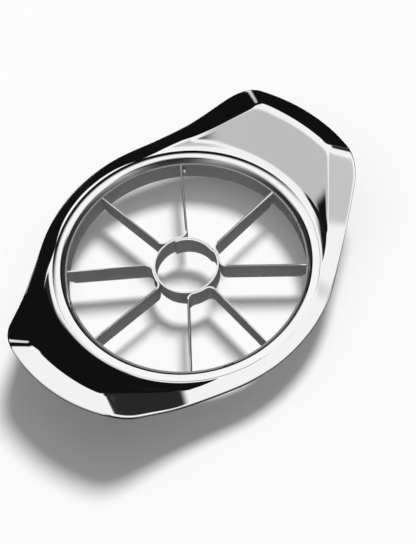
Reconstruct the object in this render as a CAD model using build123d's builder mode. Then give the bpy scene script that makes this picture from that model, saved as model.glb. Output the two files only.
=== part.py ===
"""Apple slicer and wedger: a cast frame with two raised handles round a cage of steel blades.

Millimetres. +Z up, origin on the ring axis at the lower edge of the blades,
+X and -X along the two handles.
"""

import os
from math import atan2, cos, degrees, radians, sin, sqrt, tan

from build123d import *

os.makedirs("parts", exist_ok=True)

# ---------------------------------------------------------------- cutter cage
CAGE_TOP = 9.5              # upper edge of the blades and the core ring
BAND_INNER_R = 48.95        # inner face of the outer band
BAND_WALL = 0.8             # sheet thickness of the outer band
BAND_DROP = 0.6             # upper edge of the outer band under the blades' upper edges
BLADE_WALL = 0.7            # sheet thickness of the blades
BLADE_BEVEL = 1.6           # height of the sharpened lower edge
BLADE_EDGE = 0.1            # width left at the cutting edge
BLADE_BEND_R = 2.8          # centre-line radius where a blade turns onto the core ring
CORE_OUTER_R = 13.3         # outer face of the core ring
CORE_WALL = 0.65            # sheet thickness of the core ring
CORE_LIFT = 0.9             # lower edge of the core ring outside the lap, above the blades'
LAP_GAP = 0.1               # gap between the core ring and its inner lap
LAP_START_ANGLE = -24.0     # azimuth where the strip steps inwards
LAP_STEP_ANGLE = 8.0        # angle taken by the step
LAP_END_ANGLE = 63.0        # azimuth of the free inner end
WRAP_GAP = 0.1              # gap between a blade and the core ring where it wraps
END_GAP = 0.1               # gap between a blade's shoulders and the outer band
TAB_LOW = 2.6               # lower edge of the tab at a blade's end
TAB_HEIGHT = 5.4
TAB_GAP = 0.1               # gap round a tab in its slot
NOTCH_R = 2.2               # radius of the hollow at a blade's lower outer corner
RELIEF_OFFSET = 1.4         # relief slot's centre from the blade, clockwise
RELIEF_WIDTH = 0.7
RELIEF_DROP = 0.4           # relief slot's foot under the tab's

# Azimuths of each pair's two legs: at the band, then at the core ring.
PAIR_1 = (307.7, 353.4, 305.8, 346.8)
PAIR_2 = (43.1, 85.8, 39.4, 85.0)
PAIR_3 = (131.3, 171.7, 127.6, 171.8)
PAIR_4 = (222.0, 261.2, 222.8, 265.2)

# ---------------------------------------------------------------------- frame
SKIRT_GAP = 0.3             # gap between the skirt and the outer band
SKIRT_WALL = 1.65
SKIRT_BOTTOM = 3.3
LIP_OVERHANG = 2.98         # outer edge of the raised lip beyond the skirt's outer face
LIP_WIDTH = 3.8
LIP_RISE = 0.35             # top of the lip above the dish's floor
LIP_ROUND = 0.8             # radius of the lip's inner edge
LIP_BEVEL = 0.25            # bevel of the lip's outer edge
LIP_ROOT = 0.3              # height of the lip's foot inside the sheet
WALL_LEAN = 0.25            # outward lean of the wall between the skirt and the lip
WALL_DROP = 2.2             # top of that wall under the dish's floor
FRAME_WALL = 1.6            # upright thickness of the frame's sheet
SIDE_MARGIN = 5.1           # width of the sheet outside the lip in the middle of a long side
SIDE_ANGLE = 63.5           # from +X to the outward normal of a straight side
SIDE_SPREAD = 1.0           # how much further out a straight side's line is than the middle
HANDLE_REACH = 26.9         # from the lip to the middle of a handle's end
END_ARC_OFFSET = 11.8       # centre of a handle's end arc, from the ring axis
CORNER_R = 20.0             # plan radius of the outline's corners
CREST_SETBACK = 8.4         # crest of the handle inside the handle's end
CREST_RISE = 15.3           # crest of the handle above the dish's floor
CREST_ARCH_R = 555.0        # arch of the end flange across the handle
END_SLOPE = 17.0            # fall of the end flange
# Stations along a straight side: distance from its foot, height of the edge, and the flange's
# outward fall in degrees. The first one is at the middle of the long side.
SIDE_STATIONS = (
    (-30.0, 9.85, 9.0),
    (-18.0, 10.45, 9.5),
    (-6.0, 10.32, 9.5),
    (6.0, 10.2, 8.0),
    (18.0, 11.15, 4.4),
    (30.0, 13.38, 5.6),
    (42.0, 18.16, 7.3),
    (54.0, 22.92, 11.2),
    (66.0, 27.5, 15.0),
)
BOWL_Z = 10.7               # floor of the dish next to the lip
BOWL_FOOT_LAP = 0.1         # how far the dish starts to rise inside the lip's outer edge
BOWL_BEND_R = 6.6           # radius of the dish's foot
BOWL_ANGLE = 47.2           # steepest part of the dish
BOWL_RAMP_LENGTH = 6.0      # length of the straight part
BOWL_UPPER_R = 63.0         # rounding of the upper part
BOWL_UPPER_ANGLE = 24.0     # angle taken by the upper part
CREST_FILLET = 0.95
CREST_MIN_RISE = 0.5        # ridges lower than this above the dish's floor stay sharp
RIM_FILLET = 0.5
RIM_BAND = 1.6              # widest distance of the rounded outline from its straight build-up
MIN_EDGE = 1.0              # shorter edges and edges nearer the axes stay sharp

# -------------------------------------------------------------- ears and screws
EAR_AZIMUTHS = (63.0, 150.0, 240.5, 329.5)
EAR_BOTTOM = 2.0
EAR_WALL = 0.8
EAR_WIDTH = 6.0
BOSS_R = 2.6
BOSS_LAP = 0.1              # how far a boss runs into the skirt
BOSS_GAP = 0.2              # gap between a boss and its ear
BOSS_SINK = 0.9             # how far a boss runs into the sheet
SCREW_R = 1.0
SCREW_HOLE_GAP = 0.15
SCREW_LENGTH = 6.0
SCREW_HEAD_R = 2.1
SCREW_HEAD_HEIGHT = 1.3
SCREW_GAP = 0.2             # gap between a screw's head and the ear
RECESS_WIDTH = 0.5
RECESS_LENGTH = 2.4
RECESS_DEPTH = 0.7
HOLE_DEPTH_OVER = 0.4       # screw hole past the screw's tip

FULL_TURN = 360.0
OVERRUN = 1.0               # how far the hollow's outline runs past the frame's

# ------------------------------------------------------- sizes that follow
BAND_OUTER_R = BAND_INNER_R + BAND_WALL
BAND_TOP = CAGE_TOP - BAND_DROP
TAB_TOP = TAB_LOW + TAB_HEIGHT
RELIEF_LOW = TAB_LOW - RELIEF_DROP
SKIRT_INNER_R = BAND_OUTER_R + SKIRT_GAP
SKIRT_OUTER_R = SKIRT_INNER_R + SKIRT_WALL
WALL_R = SKIRT_INNER_R + WALL_LEAN
WALL_Z = BOWL_Z - WALL_DROP
LIP_OUTER_R = SKIRT_OUTER_R + LIP_OVERHANG
LIP_INNER_R = LIP_OUTER_R - LIP_WIDTH
LIP_TOP = BOWL_Z + LIP_RISE
LIP_BASE_Z = BOWL_Z - FRAME_WALL + LIP_ROOT
BOWL_FOOT_R = LIP_OUTER_R - BOWL_FOOT_LAP
HALF_WIDTH = LIP_OUTER_R + SIDE_MARGIN
SIDE_DISTANCE = HALF_WIDTH + SIDE_SPREAD
END_X = LIP_OUTER_R + HANDLE_REACH
END_ARC_R = END_X - END_ARC_OFFSET
CREST_X = END_X - CREST_SETBACK
CREST_Z = BOWL_Z + CREST_RISE
EAR_R = SKIRT_OUTER_R + BOSS_R - BOSS_LAP
BOSS_BOTTOM = EAR_BOTTOM + EAR_WALL + BOSS_GAP
BOSS_TOP = BOWL_Z - FRAME_WALL + BOSS_SINK
SCREW_HEAD_TOP = EAR_BOTTOM - SCREW_GAP
SCREW_HEAD_BOTTOM = SCREW_HEAD_TOP - SCREW_HEAD_HEIGHT
SCREW_TOP = SCREW_HEAD_TOP + SCREW_LENGTH
TALL = 2 * CREST_Z          # height of the cutting and trimming solids
FAR = END_X + HALF_WIDTH    # inward and lengthwise reach of the trimming solids
OUTWARD = HANDLE_REACH      # their reach beyond the outline


def polar(radius, azimuth):
    """Point at a radius and an azimuth in degrees."""
    return (radius * cos(radians(azimuth)), radius * sin(radians(azimuth)))


# ------------------------------------------------------------------ outline
normal = polar(1.0, SIDE_ANGLE)
along = (normal[1], -normal[0])
flank_centre_y = -SIDE_SPREAD / (1.0 - normal[1])
flank_r = HALF_WIDTH - flank_centre_y
flank_end = (flank_r * normal[0], flank_centre_y + flank_r * normal[1])
flank_half_angle = 90.0 - SIDE_ANGLE
foot_x = SIDE_DISTANCE * normal[0] - END_ARC_OFFSET
foot_y = SIDE_DISTANCE * normal[1]
half_b = foot_x * along[0] + foot_y * along[1]
corner_t = -half_b + sqrt(half_b**2 - foot_x**2 - foot_y**2 + END_ARC_R**2)
corner = (
    SIDE_DISTANCE * normal[0] + corner_t * along[0],
    SIDE_DISTANCE * normal[1] + corner_t * along[1],
)
corner_angle = degrees(atan2(corner[1], corner[0] - END_ARC_OFFSET))


def outline_depth(point):
    """How far a point of the first quadrant lies inside the outline's lines and arcs."""
    from_side = SIDE_DISTANCE - normal[0] * point.X - normal[1] * point.Y
    from_end = END_ARC_R - sqrt((point.X - END_ARC_OFFSET) ** 2 + point.Y**2)
    from_flank = flank_r - sqrt(point.X**2 + (point.Y - flank_centre_y) ** 2)
    if point.X < flank_end[0]:
        return from_flank
    return min(from_side, from_end)


def is_crest(edge):
    """True for the ridges between the dish, the side flange and the end flange."""
    middle = edge.position_at(0.5)
    off_axes = min(middle.X, middle.Y) > MIN_EDGE
    ridge = edge.geom_type != GeomType.CIRCLE and middle.Z > BOWL_Z + CREST_MIN_RISE
    return ridge and off_axes and outline_depth(middle) > RIM_BAND


def is_rim(edge):
    """True for the upper edges of the outline."""
    middle = edge.position_at(0.5)
    upper = min(edge.position_at(0.0).Z, edge.position_at(1.0).Z) > BOWL_Z / 2
    off_axes = min(middle.X, middle.Y) > MIN_EDGE
    return upper and off_axes and outline_depth(middle) < RIM_BAND and edge.length > MIN_EDGE


def side_plane(station):
    """Upright plane across a straight side, outward along local x, up along local y."""
    origin = (
        SIDE_DISTANCE * normal[0] + station * along[0],
        SIDE_DISTANCE * normal[1] + station * along[1],
        0.0,
    )
    return Plane(origin=origin, x_dir=(normal[0], normal[1], 0.0), z_dir=(along[0], along[1], 0.0))


def side_section(height, fall):
    """Section of the space under the side flange, across a straight side."""
    grade = tan(radians(fall))
    Polygon(
        (OUTWARD, 0.0),
        (OUTWARD, height - grade * OUTWARD),
        (-FAR, height + grade * FAR),
        (-FAR, 0.0),
        align=None,
    )


def quarter_body(grow, drop):
    """Quarter of the solid under the frame's upper surface, outline grown, surface dropped."""
    with BuildPart() as side_space:
        for station, height, fall in SIDE_STATIONS:
            with BuildSketch(side_plane(station)):
                side_section(height - drop, fall)
        loft()
        with BuildSketch(side_plane(station)):
            side_section(height - drop, fall)
        extrude(amount=FAR)
    with BuildPart() as quarter:
        with BuildSketch():
            with BuildLine():
                Line((0.0, 0.0), (0.0, HALF_WIDTH))
                CenterArc((0.0, flank_centre_y), flank_r, 90.0, -flank_half_angle)
                Line(flank_end, corner)
                CenterArc((END_ARC_OFFSET, 0.0), END_ARC_R, corner_angle, -corner_angle)
                Line((END_X, 0.0), (0.0, 0.0))
            make_face()
            fillet(vertices().filter_by_position(Axis.X, corner[0] - MIN_EDGE, corner[0] + MIN_EDGE), CORNER_R)
            if grow:
                offset(amount=grow)
        extrude(amount=TALL)
        if grow:
            with BuildSketch():
                Rectangle(2 * FAR, 2 * FAR, align=(Align.MIN, Align.MIN))
            extrude(amount=TALL, mode=Mode.INTERSECT)
        add(side_space.part, mode=Mode.INTERSECT)
        slope = radians(END_SLOPE)
        end_plane = Plane(
            origin=(CREST_X, 0.0, CREST_Z - drop),
            x_dir=(0.0, 1.0, 0.0),
            z_dir=(cos(slope), 0.0, -sin(slope)),
        )
        with BuildSketch(end_plane):
            with Locations((0.0, -CREST_ARCH_R)):
                Circle(CREST_ARCH_R)
        extrude(amount=2 * FAR, both=True, mode=Mode.INTERSECT)
        with BuildSketch(Plane.XZ):
            with BuildLine():
                floor = Line((0.0, BOWL_Z - drop), (BOWL_FOOT_R, BOWL_Z - drop))
                foot = JernArc(floor @ 1, floor % 1, BOWL_BEND_R, BOWL_ANGLE)
                ramp = PolarLine(foot @ 1, BOWL_RAMP_LENGTH, direction=foot % 1)
                upper = JernArc(ramp @ 1, ramp % 1, BOWL_UPPER_R, -BOWL_UPPER_ANGLE)
                Polyline(upper @ 1, (FAR, (upper @ 1).Y), (FAR, TALL), (0.0, TALL), floor @ 0)
            make_face()
        revolve(axis=Axis.Z, revolution_arc=FULL_TURN, mode=Mode.SUBTRACT)
        if not grow:
            fillet(edges().filter_by(is_crest), CREST_FILLET)
            fillet(edges().filter_by(is_rim), RIM_FILLET)
    return quarter.part


quarter_top = quarter_body(0.0, 0.0)
quarter_under = quarter_body(OVERRUN, FRAME_WALL)

# -------------------------------------------------------------------- frame
with BuildPart() as frame:
    add(quarter_top)
    add(quarter_under, mode=Mode.SUBTRACT)
    mirror(about=Plane.YZ)
    mirror(about=Plane.XZ)
    with BuildSketch():
        Circle(LIP_OUTER_R - LIP_WIDTH / 2)
    extrude(amount=TALL, mode=Mode.SUBTRACT)
    with BuildSketch(Plane.XZ):
        with BuildLine():
            Polyline(
                (SKIRT_OUTER_R, SKIRT_BOTTOM),
                (SKIRT_INNER_R, SKIRT_BOTTOM),
                (WALL_R, WALL_Z),
                (LIP_INNER_R, LIP_TOP - LIP_ROUND),
            )
            CenterArc((LIP_INNER_R + LIP_ROUND, LIP_TOP - LIP_ROUND), LIP_ROUND, 180.0, -90.0)
            Polyline(
                (LIP_INNER_R + LIP_ROUND, LIP_TOP),
                (LIP_OUTER_R - LIP_BEVEL, LIP_TOP),
                (LIP_OUTER_R, LIP_TOP - LIP_BEVEL),
                (LIP_OUTER_R, LIP_BASE_Z),
                (SKIRT_OUTER_R, LIP_BASE_Z),
                (SKIRT_OUTER_R, SKIRT_BOTTOM),
            )
        make_face()
    revolve(axis=Axis.Z, revolution_arc=FULL_TURN)
    for azimuth in EAR_AZIMUTHS:
        with BuildSketch(Plane.XY.offset(BOSS_BOTTOM)):
            with Locations(polar(EAR_R, azimuth)):
                Circle(BOSS_R)
        extrude(amount=BOSS_TOP - BOSS_BOTTOM)
    for azimuth in EAR_AZIMUTHS:
        with BuildSketch(Plane.XY.offset(BOSS_BOTTOM)):
            with Locations(polar(EAR_R, azimuth)):
                Circle(SCREW_R + SCREW_HOLE_GAP)
        extrude(amount=SCREW_TOP + HOLE_DEPTH_OVER - BOSS_BOTTOM, mode=Mode.SUBTRACT)

# --------------------------------------------------------------- outer band
legs = []
for pair in (PAIR_1, PAIR_2, PAIR_3, PAIR_4):
    legs.append(pair[0])
    legs.append(pair[1])
with BuildPart() as outer_band:
    with BuildSketch():
        Circle(BAND_OUTER_R)
        Circle(BAND_INNER_R, mode=Mode.SUBTRACT)
    extrude(amount=BAND_TOP)
    for azimuth in EAR_AZIMUTHS:
        with BuildSketch(Plane.XY.offset(EAR_BOTTOM)):
            with Locations(Location(polar(0.0, 0.0), azimuth)):
                with Locations((EAR_R - BOSS_R, 0.0)):
                    Rectangle(2 * BOSS_R, EAR_WIDTH)
                with Locations((EAR_R, 0.0)):
                    Circle(EAR_WIDTH / 2)
                Circle(BAND_INNER_R + BAND_WALL / 2, mode=Mode.SUBTRACT)
                with Locations((EAR_R, 0.0)):
                    Circle(SCREW_R + SCREW_HOLE_GAP, mode=Mode.SUBTRACT)
        extrude(amount=EAR_WALL)
    for azimuth in legs:
        mouth = Plane.XY.rotated((0.0, 0.0, azimuth))
        with BuildSketch(mouth.offset(TAB_LOW - TAB_GAP)):
            with Locations((BAND_INNER_R, 0.0)):
                Rectangle(4 * BAND_WALL, BLADE_WALL + 2 * TAB_GAP)
        extrude(amount=TAB_HEIGHT + 2 * TAB_GAP, mode=Mode.SUBTRACT)
        with BuildSketch(mouth.offset(RELIEF_LOW)):
            with Locations((BAND_INNER_R, -RELIEF_OFFSET)):
                Rectangle(4 * BAND_WALL, RELIEF_WIDTH)
        extrude(amount=TAB_HEIGHT, mode=Mode.SUBTRACT)

# ---------------------------------------------------------------- core ring
strip_r = CORE_OUTER_R - CORE_WALL / 2
lap_r = strip_r - CORE_WALL - LAP_GAP
with BuildPart() as core_ring:
    with BuildSketch(Plane.XY.offset(CORE_LIFT)):
        with BuildLine():
            CenterArc((0.0, 0.0), strip_r, LAP_START_ANGLE + LAP_STEP_ANGLE, FULL_TURN - LAP_STEP_ANGLE)
            Line(polar(strip_r, LAP_START_ANGLE), polar(lap_r, LAP_START_ANGLE + LAP_STEP_ANGLE))
            CenterArc((0.0, 0.0), lap_r, LAP_START_ANGLE + LAP_STEP_ANGLE, LAP_END_ANGLE - LAP_START_ANGLE - LAP_STEP_ANGLE)
        trace(line_width=CORE_WALL)
    extrude(amount=CAGE_TOP - CORE_LIFT)
    with BuildSketch():
        with BuildLine():
            CenterArc((0.0, 0.0), lap_r, LAP_START_ANGLE + LAP_STEP_ANGLE, LAP_END_ANGLE - LAP_START_ANGLE - LAP_STEP_ANGLE)
        trace(line_width=CORE_WALL)
    extrude(amount=CORE_LIFT)


def blade_strip(outer_a, outer_b, inner_a, inner_b):
    """V-bent strip: two legs from the outer band and a short wrap round the core ring."""
    wrap_r = CORE_OUTER_R + WRAP_GAP + BLADE_WALL / 2
    half = BLADE_WALL / 2
    with BuildPart() as strip:
        with BuildLine() as route:
            Line(polar(BAND_OUTER_R, outer_a), polar(wrap_r, inner_a))
            CenterArc((0.0, 0.0), wrap_r, inner_a, inner_b - inner_a)
            Line(polar(wrap_r, inner_b), polar(BAND_OUTER_R, outer_b))
            corners = vertices().filter_by(lambda v: v.X**2 + v.Y**2 < BAND_INNER_R**2)
            fillet(corners, BLADE_BEND_R)
        start = route.line @ 0
        heading = route.line % 0
        with BuildSketch(Plane(origin=start, x_dir=(-heading.Y, heading.X, 0.0), z_dir=heading)):
            Polygon(
                (-BLADE_EDGE / 2, 0.0),
                (BLADE_EDGE / 2, 0.0),
                (half, BLADE_BEVEL),
                (half, CAGE_TOP),
                (-half, CAGE_TOP),
                (-half, BLADE_BEVEL),
                align=None,
            )
        sweep(path=route.line)
        with BuildSketch(Plane.XZ):
            shoulder_r = BAND_INNER_R - END_GAP
            with Locations((shoulder_r, 0.0)):
                Rectangle(FAR, TAB_LOW, align=(Align.MIN, Align.MIN))
            with Locations((shoulder_r, TAB_TOP)):
                Rectangle(FAR, CAGE_TOP, align=(Align.MIN, Align.MIN))
            with Locations((shoulder_r, 0.0)):
                Circle(NOTCH_R)
        revolve(axis=Axis.Z, revolution_arc=FULL_TURN, mode=Mode.SUBTRACT)
    return strip.part


blade_pair_1 = blade_strip(*PAIR_1)
blade_pair_2 = blade_strip(*PAIR_2)
blade_pair_3 = blade_strip(*PAIR_3)
blade_pair_4 = blade_strip(*PAIR_4)

# --------------------------------------------------------------- ear screws
with BuildPart() as ear_screws:
    for azimuth in EAR_AZIMUTHS:
        with BuildSketch(Plane.XY.offset(SCREW_HEAD_BOTTOM)):
            with Locations(polar(EAR_R, azimuth)):
                Circle(SCREW_HEAD_R)
        extrude(amount=SCREW_HEAD_TOP - SCREW_HEAD_BOTTOM)
        with BuildSketch(Plane.XY.offset(SCREW_HEAD_TOP)):
            with Locations(polar(EAR_R, azimuth)):
                Circle(SCREW_R)
        extrude(amount=SCREW_TOP - SCREW_HEAD_TOP)
        with BuildSketch(Plane.XY.offset(SCREW_HEAD_BOTTOM)):
            with Locations(Location(polar(EAR_R, azimuth), azimuth)):
                Rectangle(RECESS_LENGTH, RECESS_WIDTH)
                Rectangle(RECESS_WIDTH, RECESS_LENGTH)
        extrude(amount=RECESS_DEPTH, mode=Mode.SUBTRACT)

bodies = {
    "frame": frame.part,
    "outer_band": outer_band.part,
    "core_ring": core_ring.part,
    "blade_pair_1": blade_pair_1,
    "blade_pair_2": blade_pair_2,
    "blade_pair_3": blade_pair_3,
    "blade_pair_4": blade_pair_4,
    "ear_screws": ear_screws.part,
}
for name, body in bodies.items():
    body.label = name
    export_step(body, f"parts/{name}.step")
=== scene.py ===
"""Looks of a hand-pushed apple slicer: a mirror-polished frame round a cage of satin steel blades."""

import math

import bpy
from bpy.props import FloatProperty, FloatVectorProperty, IntProperty, PointerProperty
from mathutils import Matrix, Vector


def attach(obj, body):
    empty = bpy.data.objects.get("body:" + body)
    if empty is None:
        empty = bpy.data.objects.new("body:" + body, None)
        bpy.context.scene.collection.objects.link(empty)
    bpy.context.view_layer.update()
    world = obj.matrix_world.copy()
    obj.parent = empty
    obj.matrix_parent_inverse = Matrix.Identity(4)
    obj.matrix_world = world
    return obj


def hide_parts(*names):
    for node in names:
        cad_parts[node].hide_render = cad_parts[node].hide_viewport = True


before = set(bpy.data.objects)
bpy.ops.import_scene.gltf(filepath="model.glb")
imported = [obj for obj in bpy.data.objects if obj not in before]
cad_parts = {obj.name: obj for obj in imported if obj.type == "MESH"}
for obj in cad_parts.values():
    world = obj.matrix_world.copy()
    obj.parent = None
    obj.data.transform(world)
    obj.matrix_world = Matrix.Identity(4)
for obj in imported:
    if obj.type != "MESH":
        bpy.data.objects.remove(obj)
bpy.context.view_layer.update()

bl_info = {
    "name": "Apple slicer",
    "version": (1, 0, 0),
    "blender": (4, 5, 0),
    "location": "View3D > Sidebar > Slicer",
    "description": "Builds the visible surfaces and the studio of a hand-pushed apple slicer",
    "category": "Object",
}

MM = 0.001

# Lip, wall and skirt of the ring, in millimetres, close to the solids.
LIP_INNER_R = 50.88
LIP_OUTER_R = 54.68
LIP_TOP = 11.2
LIP_ROUND = 0.8
LIP_BEVEL = 0.12
LIP_BEVEL_RUN = 0.1
LIP_BEVEL_FALL = 0.02
LIP_FOOT = 0.04
WALL_R = 50.3
WALL_Z = 8.5
SKIRT_INNER_R = 50.05
SKIRT_OUTER_R = 51.7
SKIRT_BOTTOM = 3.3
SKIRT_CHAMFER = 0.3
SKIRT_FILLET = 0.6
SKIRT_FILLET_SAG = 0.12
SHEET = 1.6

# Plan of the outline's first quadrant.
HALF_WIDTH = 59.78
SIDE_ANGLE = math.radians(63.5)
SIDE_DISTANCE = 60.78
END_X = 81.58
END_ARC_R = 69.78
CORNER_R = 20.0
OUTLINE_MARGIN = 5.0  # reach of the search for the outline, past its least and greatest radius

# Flanges and the dish between them; stations run along a long side's edge.
CREST_X = 73.18
CREST_Z = 26.0
CREST_ARCH_R = 555.0
END_SLOPE = math.radians(17.0)
STATION_STEP = 12.0
FIRST_STATION = -30.0
EDGE_HEIGHTS = (8.95, 9.7, 10.05, 10.15, 11.15, 13.38, 18.16, 22.92, 27.5)
EDGE_FALLS = (9.0, 9.5, 9.5, 8.0, 4.4, 5.6, 7.3, 11.2, 15.0)
BOWL_Z = 11.0
BOWL_FOOT_R = 54.58
BOWL_FOOT_BEND = 6.6
BOWL_ANGLE = math.radians(47.2)
BOWL_RAMP = 6.0
BOWL_UPPER_R = 63.0
RIM_ROUND = 0.5
RIM_CHAMFER = 0.25
RIM_LAND = 1.5  # width of the underside's flat strip along the rim
BLEND_SPAN = 6.0  # height difference over which the side's crest turns into the end's crest
FLAT_CREST = 0.06  # share of the crest's blend where the dish is flat
CREST_GROWTH = 0.6  # added share for each millimetre that the dish has risen
DISH_SHARE = 0.3  # least share of a section that lies inside its crest
LEAST_FLANGE = 2.4
CREST_STRIP = 1.2  # half-width of the finely divided strip along the crest
CREST_STRIP_SHARE = 0.8

# Screw bosses.
EAR_AZIMUTHS = (63.0, 150.0, 240.5, 329.5)
EAR_R = 54.2
BOSS_R = 2.6
BOSS_BOTTOM = 3.0
BOSS_TOP = 9.4
BOSS_BORE_R = 1.15
BOSS_BORE_DEPTH = 5.2

# Worked out from the plan.
NORMAL = (math.cos(SIDE_ANGLE), math.sin(SIDE_ANGLE))
FLANK_CENTRE_Y = (SIDE_DISTANCE - HALF_WIDTH) / (NORMAL[1] - 1.0)
FLANK_R = HALF_WIDTH - FLANK_CENTRE_Y
FLANK_END_X = FLANK_R * NORMAL[0]
END_CENTRE_X = END_X - END_ARC_R


def corner_centre():
    """Centre of the outline's rounded corner in the first quadrant."""
    reach = SIDE_DISTANCE - CORNER_R
    from_x = reach * NORMAL[0] - END_CENTRE_X
    from_y = reach * NORMAL[1]
    half_b = from_x * NORMAL[1] - from_y * NORMAL[0]
    along = -half_b + math.sqrt(half_b**2 - from_x**2 - from_y**2 + (END_ARC_R - CORNER_R) ** 2)
    return (reach * NORMAL[0] + along * NORMAL[1], reach * NORMAL[1] - along * NORMAL[0])


CORNER = corner_centre()
CORNER_TURN = math.atan2(CORNER[1], CORNER[0] - END_CENTRE_X)


def inside_outline(x, y):
    """Whether a plan point of the first quadrant is inside the rounded outline."""
    if x < FLANK_END_X:
        return math.hypot(x, y - FLANK_CENTRE_Y) < FLANK_R
    bearing = math.atan2(y - CORNER[1], x - CORNER[0])
    if CORNER_TURN < bearing < SIDE_ANGLE:
        return math.hypot(x - CORNER[0], y - CORNER[1]) < CORNER_R
    on_side = NORMAL[0] * x + NORMAL[1] * y < SIDE_DISTANCE
    return on_side and math.hypot(x - END_CENTRE_X, y) < END_ARC_R


def even(start, end, count):
    """Count even steps from start towards end, without the end."""
    return [start + (end - start) * i / count for i in range(count)]


def bisect(test, low, high):
    """Largest value between low and high for which test holds."""
    for _ in range(40):
        middle = (low + high) / 2
        if test(middle):
            low = middle
        else:
            high = middle
    return low


def spline(values):
    """Natural cubic through values at even steps, as a function of the step count."""
    count = len(values)
    bends = [0.0] * count
    ratio = [0.0] * count
    for i in range(1, count - 1):
        pivot = 4.0 - ratio[i - 1]
        ratio[i] = 1.0 / pivot
        bends[i] = (6.0 * (values[i + 1] - 2.0 * values[i] + values[i - 1]) - bends[i - 1]) / pivot
    for i in range(count - 3, 0, -1):
        bends[i] -= ratio[i] * bends[i + 1]

    def height(step):
        i = min(max(int(step), 0), count - 2)
        f = step - i
        g = 1.0 - f
        blend = (g**3 - g) * bends[i] + (f**3 - f) * bends[i + 1]
        return g * values[i] + f * values[i + 1] + blend / 6.0

    return height


edge_height = spline(EDGE_HEIGHTS)
edge_grade = spline([math.tan(math.radians(fall)) for fall in EDGE_FALLS])


def side_flange(x, y):
    """Height of the flange along a long side, first quadrant."""
    station = NORMAL[1] * x - NORMAL[0] * y
    step = (station - FIRST_STATION) / STATION_STEP
    outward = NORMAL[0] * x + NORMAL[1] * y - SIDE_DISTANCE
    return edge_height(step) - edge_grade(step) * outward


def end_flange(x, y):
    """Height of the flange at a handle's end."""
    arch = CREST_ARCH_R - math.sqrt(CREST_ARCH_R**2 - y**2)
    return CREST_Z - arch - math.tan(END_SLOPE) * (x - CREST_X)


def bowl(radius):
    """Height of the dished inner side of the handles at a distance from the ring's axis."""
    if radius < BOWL_FOOT_R:
        return BOWL_Z
    ramp_r = BOWL_FOOT_R + BOWL_FOOT_BEND * math.sin(BOWL_ANGLE)
    ramp_z = BOWL_Z + BOWL_FOOT_BEND * (1.0 - math.cos(BOWL_ANGLE))
    if radius < ramp_r:
        turn = math.asin((radius - BOWL_FOOT_R) / BOWL_FOOT_BEND)
        return BOWL_Z + BOWL_FOOT_BEND * (1.0 - math.cos(turn))
    upper_r = ramp_r + BOWL_RAMP * math.cos(BOWL_ANGLE)
    upper_z = ramp_z + BOWL_RAMP * math.sin(BOWL_ANGLE)
    if radius < upper_r:
        return ramp_z + (radius - ramp_r) * math.tan(BOWL_ANGLE)
    turn = math.asin(math.sin(BOWL_ANGLE) - (radius - upper_r) / BOWL_UPPER_R)
    return upper_z + BOWL_UPPER_R * (math.cos(turn) - math.cos(BOWL_ANGLE))


def soft_lower(a, b, reach):
    """The lower of two heights, blended where they are within reach of each other."""
    near = max(reach - abs(a - b), 0.0) / reach
    return min(a, b) - near * near * reach / 4.0


def top_height(x, y, rounds):
    """Height of the frame's upper face; rounds are the blends of side crest, end crest and mitre."""
    x, y = abs(x), abs(y)
    side, end = side_flange(x, y), end_flange(x, y)
    share = min(max(0.5 + (side - end) / BLEND_SPAN, 0.0), 1.0)
    share *= share * (3.0 - 2.0 * share)
    crest = rounds[0] + (rounds[1] - rounds[0]) * share
    dish = bowl(math.hypot(x, y))
    crest *= min(FLAT_CREST + CREST_GROWTH * (dish - BOWL_Z), 1.0)
    return soft_lower(soft_lower(side, end, rounds[2]), dish, crest)


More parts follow.
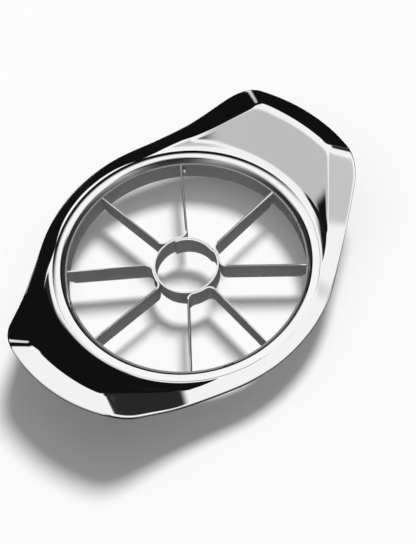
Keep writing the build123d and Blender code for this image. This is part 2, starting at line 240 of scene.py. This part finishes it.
def section_at(azimuth, rounds):
    """Closed section of the frame at an azimuth, as (radius, height) points."""
    cx, cy = abs(math.cos(azimuth)), abs(math.sin(azimuth))
    least, greatest = HALF_WIDTH - OUTLINE_MARGIN, END_X + OUTLINE_MARGIN
    edge = bisect(lambda r: inside_outline(r * cx, r * cy), least, greatest)
    base = LIP_OUTER_R
    last = edge - RIM_ROUND

    def rising(r):
        return bowl(r) < min(side_flange(r * cx, r * cy), end_flange(r * cx, r * cy))

    def top(r):
        return top_height(r * cx, r * cy, rounds)

    ridge = bisect(rising, base, last)
    ridge = min(max(ridge, base + DISH_SHARE * (edge - base)), edge - LEAST_FLANGE)
    half = min(CREST_STRIP, CREST_STRIP_SHARE * (ridge - base))
    radii = even(base, ridge - half, 20) + even(ridge - half, ridge + half, 12)
    radii += even(ridge + half, last, 14) + [last]
    points = [(r, top(r)) for r in radii]

    rim = points[-1][1]
    for turn in even(0.0, math.pi / 2, 5)[1:] + [math.pi / 2]:
        points.append((last + RIM_ROUND * math.sin(turn), rim - RIM_ROUND * (1.0 - math.cos(turn))))
    points.append((edge, rim - SHEET + RIM_CHAMFER))
    points.append((edge - 0.3 * RIM_CHAMFER, rim - SHEET + 0.3 * RIM_CHAMFER))
    points.append((edge - RIM_CHAMFER, top(edge - RIM_CHAMFER) - SHEET))

    skirt_start = SKIRT_OUTER_R + SKIRT_FILLET
    under = [edge - RIM_LAND, ridge + half, ridge] + even(ridge - half, skirt_start, 10) + [skirt_start]
    points += [(r, top(max(r, base)) - SHEET) for r in under]
    skirt_top = points[-1][1]
    points.append((SKIRT_OUTER_R + SKIRT_FILLET_SAG, skirt_top - SKIRT_FILLET_SAG))
    points.append((SKIRT_OUTER_R, skirt_top - SKIRT_FILLET))
    points.append((SKIRT_OUTER_R, SKIRT_BOTTOM + SKIRT_CHAMFER))
    points.append((SKIRT_OUTER_R - SKIRT_CHAMFER, SKIRT_BOTTOM))
    points.append((SKIRT_INNER_R + SKIRT_CHAMFER, SKIRT_BOTTOM))
    points.append((SKIRT_INNER_R, SKIRT_BOTTOM + SKIRT_CHAMFER))

    points.append((WALL_R, WALL_Z))
    for turn in even(0.0, math.pi / 2, 8) + [math.pi / 2]:
        inward, down = LIP_ROUND * (1.0 - math.cos(turn)), LIP_ROUND * (1.0 - math.sin(turn))
        points.append((LIP_INNER_R + inward, LIP_TOP - down))
    bevel_r = LIP_OUTER_R - LIP_BEVEL
    points.append((bevel_r - LIP_BEVEL_RUN, LIP_TOP))
    points.append((bevel_r, LIP_TOP - LIP_BEVEL_FALL))
    points.append((LIP_OUTER_R - LIP_FOOT, LIP_TOP - LIP_BEVEL))
    return points


# ------------------------------------------------------------------ settings
class SlicerSurfaceSettings(bpy.types.PropertyGroup):
    """Roundings and colours of the slicer's surfaces."""

    columns: IntProperty(name="Columns", description="Sections round the frame", default=720, min=90)
    side_crest: FloatProperty(
        name="Side crest",
        description="Height over which dish and side flange blend, in mm",
        default=0.8,
    )
    end_crest: FloatProperty(
        name="End crest",
        description="Height over which dish and end flange blend, in mm",
        default=2.4,
    )
    mitre: FloatProperty(
        name="Mitre",
        description="Height over which the two flanges blend, in mm",
        default=2.0,
    )
    chrome_color: FloatVectorProperty(
        name="Chrome",
        description="Colour of the polished frame",
        subtype="COLOR",
        default=(0.9, 0.9, 0.91),
    )
    steel_color: FloatVectorProperty(
        name="Steel",
        description="Colour of the blades, band and ring",
        subtype="COLOR",
        default=(0.80, 0.80, 0.81),
    )


class SlicerStageSettings(bpy.types.PropertyGroup):
    """Floor and light."""

    floor_color: FloatVectorProperty(
        name="Floor",
        description="Colour of the floor",
        subtype="COLOR",
        default=(0.95, 0.95, 0.95),
    )
    floor_drop: FloatProperty(
        name="Floor drop",
        description="Distance of the floor under the blades",
        unit="LENGTH",
        default=0.0085,
    )
    ambient: FloatProperty(name="Ambient", description="Strength of the light from all round", default=0.33)
    key: FloatProperty(name="Key", description="Strength of the key lamp", default=2.55)


# ----------------------------------------------------------------- materials
EVEN = (1.0, 1.0, 1.0)
UPWARD_START = 0.7  # upward share of the normal where the painted shade of upward faces starts
UPWARD_FULL = 0.95


def new_material(name):
    """Empty node material with its principled shader."""
    material = bpy.data.materials.new(name)
    material.use_nodes = True
    nodes = material.node_tree.nodes
    nodes.clear()
    shader = nodes.new("ShaderNodeBsdfPrincipled")
    output = nodes.new("ShaderNodeOutputMaterial")
    material.node_tree.links.new(shader.outputs["BSDF"], output.inputs["Surface"])
    return material, shader


def add_noise(material, scale, stretch, detail=3.0):
    """Noise on object coordinates, stretched along the three axes."""
    nodes, links = material.node_tree.nodes, material.node_tree.links
    coordinates = nodes.new("ShaderNodeTexCoord")
    mapping = nodes.new("ShaderNodeMapping")
    mapping.inputs["Scale"].default_value = stretch
    noise = nodes.new("ShaderNodeTexNoise")
    noise.inputs["Scale"].default_value = scale
    noise.inputs["Detail"].default_value = detail
    links.new(coordinates.outputs["Object"], mapping.inputs["Vector"])
    links.new(mapping.outputs["Vector"], noise.inputs["Vector"])
    return noise.outputs["Fac"]


def add_range(material, value, low, high, start=0.3, end=0.7):
    """Value remapped to run from low to high."""
    nodes, links = material.node_tree.nodes, material.node_tree.links
    ranged = nodes.new("ShaderNodeMapRange")
    ranged.inputs["From Min"].default_value = start
    ranged.inputs["From Max"].default_value = end
    ranged.inputs["To Min"].default_value = low
    ranged.inputs["To Max"].default_value = high
    links.new(value, ranged.inputs["Value"])
    return ranged.outputs["Result"]


def add_color_mix(material, first, second, factor):
    """Mix, by a factor socket, of a colour or a colour socket with a second colour."""
    nodes, links = material.node_tree.nodes, material.node_tree.links
    mix = nodes.new("ShaderNodeMix")
    mix.data_type = "RGBA"
    if isinstance(first, tuple):
        mix.inputs["A"].default_value = (*first, 1.0)
    else:
        links.new(first, mix.inputs["A"])
    mix.inputs["B"].default_value = (*second, 1.0)
    links.new(factor, mix.inputs["Factor"])
    return mix.outputs["Result"]


def shade(color, share):
    """Colour made darker or lighter by a share."""
    return tuple(min(1.0, share * c) for c in color)


def add_bump(material, shader, value, strength, distance):
    """Fine relief on the shader."""
    nodes, links = material.node_tree.nodes, material.node_tree.links
    bump = nodes.new("ShaderNodeBump")
    bump.inputs["Strength"].default_value = strength
    bump.inputs["Distance"].default_value = distance
    links.new(value, bump.inputs["Height"])
    links.new(bump.outputs["Normal"], shader.inputs["Normal"])


def polished_chrome(settings):
    """Mirror chrome with a faint uneven haze."""
    material, shader = new_material("polished_chrome")
    links = material.node_tree.links
    shader.inputs["Metallic"].default_value = 1.0
    haze = add_noise(material, scale=60.0, stretch=EVEN)
    links.new(add_range(material, haze, low=0.035, high=0.075), shader.inputs["Roughness"])
    tint = add_noise(material, scale=25.0, stretch=EVEN)
    color = tuple(settings.chrome_color)
    links.new(add_color_mix(material, color, shade(color, 0.97), tint), shader.inputs["Base Color"])
    return material


def satin_steel(settings, name, stretch, painted_top_shade=1.0):
    """Rolled strip steel: lengthwise grain, uneven satin, and painted shade that darkens faces looking
    upward by a share.
    """
    material, shader = new_material(name)
    nodes, links = material.node_tree.nodes, material.node_tree.links
    shader.inputs["Metallic"].default_value = 0.72
    grain = add_noise(material, scale=900.0, stretch=stretch, detail=4.0)
    clouds = add_noise(material, scale=90.0, stretch=EVEN)
    links.new(add_range(material, clouds, low=0.09, high=0.16), shader.inputs["Roughness"])
    color = tuple(settings.steel_color)
    rolled = add_color_mix(material, shade(color, 0.88), shade(color, 1.12), grain)
    facing = nodes.new("ShaderNodeNewGeometry")
    parts = nodes.new("ShaderNodeSeparateXYZ")
    links.new(facing.outputs["Normal"], parts.inputs["Vector"])
    upward = add_range(material, parts.outputs["Z"], 0.0, 1.0, UPWARD_START, UPWARD_FULL)
    # Painted shade: faces whose normal points up are mixed towards a darker copy of the steel colour.
    grain_and_painted_shade = add_color_mix(material, rolled, shade(color, painted_top_shade), upward)
    links.new(grain_and_painted_shade, shader.inputs["Base Color"])
    add_bump(material, shader, grain, strength=0.12, distance=0.05 * MM)
    return material


# -------------------------------------------------------------------- pieces
def finish_piece(piece, material, slot_name, *nodes):
    """Gives a new piece its material and body and hides the nodes that it stands for; slot_name is not
    used.
    """
    piece.data.materials.clear()
    piece.data.materials.append(material)
    piece.visible_glossy = False
    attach(piece, "root")
    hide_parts(*nodes)


def add_piece(context, name, mesh):
    """New object of a mesh, which alone is selected and active."""
    piece = bpy.data.objects.new(name, mesh)
    context.scene.collection.objects.link(piece)
    bpy.ops.object.select_all(action="DESELECT")
    piece.select_set(True)
    context.view_layer.objects.active = piece
    return piece


class SLICER_OT_frame(bpy.types.Operator):
    """Builds the polished frame from its sections round the ring."""

    bl_idname = "slicer.frame"
    bl_label = "Frame"

    def execute(self, context):
        settings = context.scene.slicer_surfaces
        count = settings.columns
        rounds = (settings.side_crest, settings.end_crest, settings.mitre)
        vertices = []
        for column in range(count):
            azimuth = 2.0 * math.pi * (column + 0.5) / count
            section = section_at(azimuth, rounds)
            rows = len(section)
            for radius, height in section:
                x, y = radius * math.cos(azimuth), radius * math.sin(azimuth)
                vertices.append((x * MM, y * MM, height * MM))
        faces = []
        for column in range(count):
            here, after = column * rows, (column + 1) % count * rows
            for row in range(rows):
                up = (row + 1) % rows
                faces.append((here + row, here + up, after + up, after + row))
        mesh = bpy.data.meshes.new("polished_frame")
        mesh.from_pydata(vertices, [], faces)
        piece = add_piece(context, "polished_frame", mesh)
        bpy.ops.object.mode_set(mode="EDIT")
        bpy.ops.mesh.select_all(action="SELECT")
        bpy.ops.mesh.normals_make_consistent(inside=False)
        bpy.ops.object.mode_set(mode="OBJECT")
        bpy.ops.object.shade_smooth_by_angle(angle=math.radians(38.0))
        finish_piece(piece, polished_chrome(settings), "polished_frame", "frame")
        return {"FINISHED"}


class SLICER_OT_bosses(bpy.types.Operator):
    """Adds the four screw bosses under the frame."""

    bl_idname = "slicer.bosses"
    bl_label = "Bosses"

    def execute(self, context):
        chrome = polished_chrome(context.scene.slicer_surfaces)
        context.tool_settings.mesh_select_mode = (False, False, True)
        for count, azimuth in enumerate(EAR_AZIMUTHS, 1):
            turn = math.radians(azimuth)
            bpy.ops.object.select_all(action="DESELECT")
            bpy.ops.mesh.primitive_cylinder_add(
                vertices=48,
                radius=BOSS_R * MM,
                depth=(BOSS_TOP - BOSS_BOTTOM) * MM,
                location=(
                    EAR_R * math.cos(turn) * MM,
                    EAR_R * math.sin(turn) * MM,
                    (BOSS_TOP + BOSS_BOTTOM) / 2 * MM,
                ),
            )
            piece = context.object
            piece.name = f"screw_boss_{count}"
            bpy.ops.object.transform_apply(location=True, rotation=True, scale=True)
            for face in piece.data.polygons:
                face.select = face.normal.z < -0.9
            bpy.ops.object.mode_set(mode="EDIT")
            bpy.ops.mesh.inset(thickness=(BOSS_R - BOSS_BORE_R) * MM)
            bpy.ops.mesh.extrude_region_move(
                TRANSFORM_OT_translate={"value": (0.0, 0.0, BOSS_BORE_DEPTH * MM)}
            )
            bpy.ops.object.mode_set(mode="OBJECT")
            bpy.ops.object.shade_smooth_by_angle(angle=math.radians(35.0))
            finish_piece(piece, chrome, "polished_frame", "frame")
        return {"FINISHED"}


def smooth_copy(context, node_name, piece_name):
    """Joined-up copy of a solid's mesh with smooth curved faces."""
    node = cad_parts[node_name]
    mesh = node.data.copy()
    mesh.transform(node.matrix_world)
    piece = add_piece(context, piece_name, mesh)
    bpy.ops.object.mode_set(mode="EDIT")
    bpy.ops.mesh.select_all(action="SELECT")
    bpy.ops.mesh.remove_doubles(threshold=1e-6)
    bpy.ops.mesh.normals_make_consistent(inside=False)
    bpy.ops.object.mode_set(mode="OBJECT")
    bpy.ops.object.shade_smooth_by_angle(angle=math.radians(30.0))
    bpy.ops.object.modifier_add(type="WEIGHTED_NORMAL")
    weighted = piece.modifiers[-1]
    weighted.keep_sharp = True
    weighted.weight = 100
    bpy.ops.object.modifier_apply(modifier=weighted.name)
    return piece


class SLICER_OT_band(bpy.types.Operator):
    """Makes the outer band with its satin steel."""

    bl_idname = "slicer.band"
    bl_label = "Outer band"

    def execute(self, context):
        settings = context.scene.slicer_surfaces
        # The band's upward faces get painted shade, darkened to 0.3 of the steel colour.
        steel = satin_steel(settings, "band_steel", (1.0, 1.0, 4.0), painted_top_shade=0.3)
        piece = smooth_copy(context, "outer_band", "steel_band")
        finish_piece(piece, steel, "cage_steel", "outer_band")
        return {"FINISHED"}


class SLICER_OT_ring(bpy.types.Operator):
    """Makes the core ring with its satin steel."""

    bl_idname = "slicer.ring"
    bl_label = "Core ring"

    def execute(self, context):
        steel = satin_steel(context.scene.slicer_surfaces, "ring_steel", (1.0, 1.0, 6.0))
        piece = smooth_copy(context, "core_ring", "steel_ring")
        finish_piece(piece, steel, "cage_steel", "core_ring")
        return {"FINISHED"}


class SLICER_OT_blades(bpy.types.Operator):
    """Makes the four bent blade strips."""

    bl_idname = "slicer.blades"
    bl_label = "Blades"

    def execute(self, context):
        steel = satin_steel(context.scene.slicer_surfaces, "blade_steel", (1.0, 1.0, 8.0))
        for count in range(1, 5):
            piece = smooth_copy(context, f"blade_pair_{count}", f"steel_blades_{count}")
            finish_piece(piece, steel, "blade_steel", f"blade_pair_{count}")
        return {"FINISHED"}


class SLICER_OT_screws(bpy.types.Operator):
    """Makes the ear screws."""

    bl_idname = "slicer.screws"
    bl_label = "Ear screws"

    def execute(self, context):
        steel = satin_steel(context.scene.slicer_surfaces, "screw_steel", EVEN)
        piece = smooth_copy(context, "ear_screws", "steel_screws")
        finish_piece(piece, steel, "screw_steel", "ear_screws")
        return {"FINISHED"}


# --------------------------------------------------------------------- stage
FLOOR_SIZE = 6.0
TENT_R = 2.0
KEY_AZIMUTH = 60.0  # this and the panels' azimuths are counted from the camera's right
KEY_ELEVATION = 60.0
KEY_ANGLE = 17.0

CAMERA_YAW = -43.1  # azimuth of the camera's right, from the handles' axis
CAMERA_ELEVATION = 59.19
CAMERA_ROLL = 8.17
CAMERA_DISTANCE = 1012.1 * MM
FOCAL_LENGTH = 2485.0  # in pixels, as are the picture's width and height
PICTURE_WIDTH = 416.0
PICTURE_HEIGHT = 544.0
TARGET = (0.0, 0.0, 9.5 * MM)
TARGET_COLUMN = 186.2  # where the target lies in the picture
TARGET_ROW = 264.9
SENSOR = 36.0


def direction(azimuth, elevation):
    """Unit vector from an azimuth counted from the camera's right and an elevation."""
    a, e = math.radians(azimuth + CAMERA_YAW), math.radians(elevation)
    return Vector((math.cos(a) * math.cos(e), math.sin(a) * math.cos(e), math.sin(e)))


# Panels of the light tent, from back to front: azimuth, elevation, half-angle, soft edge, brightness.
PANELS = (
    (-90.0, 0.0, 42.0, 8.0, 0.02),
    (-160.0, 12.0, 42.0, 7.0, 0.57),
    (-95.0, 75.0, 14.0, 6.0, 0.62),
    (105.0, -8.0, 65.0, 3.0, 0.006),
    (45.0, 0.0, 42.0, 4.0, 0.006),
    (90.0, 63.0, 10.0, 3.0, 1.03),
    (112.0, 29.0, 6.0, 4.0, 0.9),
    (153.0, 36.0, 12.0, 2.0, 0.01),
    (42.0, 45.0, 13.0, 3.0, 0.022),
    (-90.0, -90.0, 55.0, 8.0, 0.03),
    (-90.0, 59.7, 8.0, 4.0, 0.05),
)
TENT_WHITE = 1.0


class SLICER_OT_stage(bpy.types.Operator):
    """Makes the floor, the light tent, the key lamp and the camera."""

    bl_idname = "slicer.stage"
    bl_label = "Stage"

    def execute(self, context):
        settings = context.scene.slicer_stage
        self.make_floor(context, settings)
        self.make_tent(context)
        self.make_lights(context, settings)
        self.make_camera(context)
        context.scene.view_settings.view_transform = "Standard"
        return {"FINISHED"}

    def make_floor(self, context, settings):
        bpy.ops.object.select_all(action="DESELECT")
        bpy.ops.mesh.primitive_plane_add(size=FLOOR_SIZE, location=(0.0, 0.0, -settings.floor_drop))
        floor = context.object
        floor.name = "floor"
        material, shader = new_material("pale_floor")
        shader.inputs["Base Color"].default_value = (*settings.floor_color, 1.0)
        shader.inputs["Roughness"].default_value = 0.9
        shader.inputs["Specular IOR Level"].default_value = 0.0
        floor.data.materials.append(material)
        floor.visible_glossy = False

    def make_tent(self, context):
        bpy.ops.mesh.primitive_uv_sphere_add(radius=TENT_R, segments=64, ring_count=32)
        tent = context.object
        tent.name = "light_tent"
        material = bpy.data.materials.new("tent_panels")
        material.use_nodes = True
        nodes, links = material.node_tree.nodes, material.node_tree.links
        nodes.clear()
        coordinates = nodes.new("ShaderNodeTexCoord")
        toward = nodes.new("ShaderNodeVectorMath")
        toward.operation = "NORMALIZE"
        links.new(coordinates.outputs["Object"], toward.inputs[0])
        level = None
        for azimuth, elevation, half, soft, value in PANELS:
            dot = nodes.new("ShaderNodeVectorMath")
            dot.operation = "DOT_PRODUCT"
            dot.inputs[1].default_value = direction(azimuth, elevation)
            links.new(toward.outputs["Vector"], dot.inputs[0])
            mask = nodes.new("ShaderNodeMapRange")
            mask.interpolation_type = "SMOOTHSTEP"
            mask.inputs["From Min"].default_value = math.cos(math.radians(half + soft))
            mask.inputs["From Max"].default_value = math.cos(math.radians(half - soft))
            links.new(dot.outputs["Value"], mask.inputs["Value"])
            mix = nodes.new("ShaderNodeMix")
            if level is None:
                mix.inputs["A"].default_value = TENT_WHITE
            else:
                links.new(level, mix.inputs["A"])
            mix.inputs["B"].default_value = value
            links.new(mask.outputs["Result"], mix.inputs["Factor"])
            level = mix.outputs["Result"]
        emission = nodes.new("ShaderNodeEmission")
        links.new(level, emission.inputs["Strength"])
        output = nodes.new("ShaderNodeOutputMaterial")
        links.new(emission.outputs["Emission"], output.inputs["Surface"])
        tent.data.materials.append(material)
        tent.visible_camera = False
        tent.visible_diffuse = False
        tent.visible_transmission = False
        tent.visible_volume_scatter = False
        tent.visible_shadow = False

    def make_lights(self, context, settings):
        world = bpy.data.worlds.new("studio")
        context.scene.world = world
        world.use_nodes = True
        nodes, links = world.node_tree.nodes, world.node_tree.links
        background = nodes["Background"]
        background.inputs["Color"].default_value = (1.0, 1.0, 1.0, 1.0)
        path = nodes.new("ShaderNodeLightPath")
        seen = path.outputs["Is Camera Ray"]
        for kind in ("Is Glossy Ray", "Is Transmission Ray"):
            either = nodes.new("ShaderNodeMath")
            either.operation = "MAXIMUM"
            links.new(seen, either.inputs[0])
            links.new(path.outputs[kind], either.inputs[1])
            seen = either.outputs["Value"]
        strength = nodes.new("ShaderNodeMix")
        strength.inputs["A"].default_value = settings.ambient
        strength.inputs["B"].default_value = 1.0
        links.new(seen, strength.inputs["Factor"])
        links.new(strength.outputs["Result"], background.inputs["Strength"])
        lamp = bpy.data.lights.new("key", "SUN")
        lamp.energy = settings.key
        lamp.angle = math.radians(KEY_ANGLE)
        key = bpy.data.objects.new("key", lamp)
        key.rotation_euler = direction(KEY_AZIMUTH, KEY_ELEVATION).to_track_quat("Z", "Y").to_euler()
        key.visible_glossy = False
        context.scene.collection.objects.link(key)

    def make_camera(self, context):
        elevation, roll = math.radians(CAMERA_ELEVATION), math.radians(CAMERA_ROLL)
        yaw = math.radians(CAMERA_YAW)
        right = Vector((math.cos(yaw), math.sin(yaw), 0.0))
        away = Vector((-math.sin(yaw), math.cos(yaw), 0.0))
        forward = away * math.cos(elevation) - Vector((0.0, 0.0, math.sin(elevation)))
        up = away * math.sin(elevation) + Vector((0.0, 0.0, math.cos(elevation)))
        camera_x = right * math.cos(roll) - up * math.sin(roll)
        camera_y = right * math.sin(roll) + up * math.cos(roll)
        offset_x = (TARGET_COLUMN - PICTURE_WIDTH / 2) / FOCAL_LENGTH * CAMERA_DISTANCE
        offset_y = -(TARGET_ROW - PICTURE_HEIGHT / 2) / FOCAL_LENGTH * CAMERA_DISTANCE
        place = Vector(TARGET) - camera_x * offset_x - camera_y * offset_y - forward * CAMERA_DISTANCE
        camera = bpy.data.objects.new("camera", bpy.data.cameras.new("camera"))
        camera.data.sensor_width = SENSOR
        camera.data.lens = FOCAL_LENGTH / PICTURE_HEIGHT * SENSOR
        turn = Matrix((camera_x, camera_y, -forward)).transposed()
        camera.matrix_world = Matrix.Translation(place) @ turn.to_4x4()
        context.scene.collection.objects.link(camera)
        context.scene.camera = camera


class SLICER_PT_panel(bpy.types.Panel):
    """Lists the slicer's settings and operators."""

    bl_label = "Apple slicer"
    bl_idname = "SLICER_PT_panel"
    bl_space_type = "VIEW_3D"
    bl_region_type = "UI"
    bl_category = "Slicer"

    def draw(self, context):
        layout = self.layout
        for group in (context.scene.slicer_surfaces, context.scene.slicer_stage):
            for name in group.__annotations__:
                layout.prop(group, name)
        for operator in OPERATORS:
            layout.operator(operator.bl_idname)


OPERATORS = (
    SLICER_OT_frame,
    SLICER_OT_bosses,
    SLICER_OT_band,
    SLICER_OT_ring,
    SLICER_OT_blades,
    SLICER_OT_screws,
    SLICER_OT_stage,
)
CLASSES = (SlicerSurfaceSettings, SlicerStageSettings, *OPERATORS, SLICER_PT_panel)


def register():
    for each in CLASSES:
        bpy.utils.register_class(each)
    bpy.types.Scene.slicer_surfaces = PointerProperty(type=SlicerSurfaceSettings)
    bpy.types.Scene.slicer_stage = PointerProperty(type=SlicerStageSettings)


def unregister():
    del bpy.types.Scene.slicer_stage
    del bpy.types.Scene.slicer_surfaces
    for each in reversed(CLASSES):
        bpy.utils.unregister_class(each)


def main():
    register()
    bpy.ops.slicer.frame()
    bpy.ops.slicer.bosses()
    bpy.ops.slicer.band()
    bpy.ops.slicer.ring()
    bpy.ops.slicer.blades()
    bpy.ops.slicer.screws()
    bpy.ops.slicer.stage()


if __name__ == "__main__":
    main()
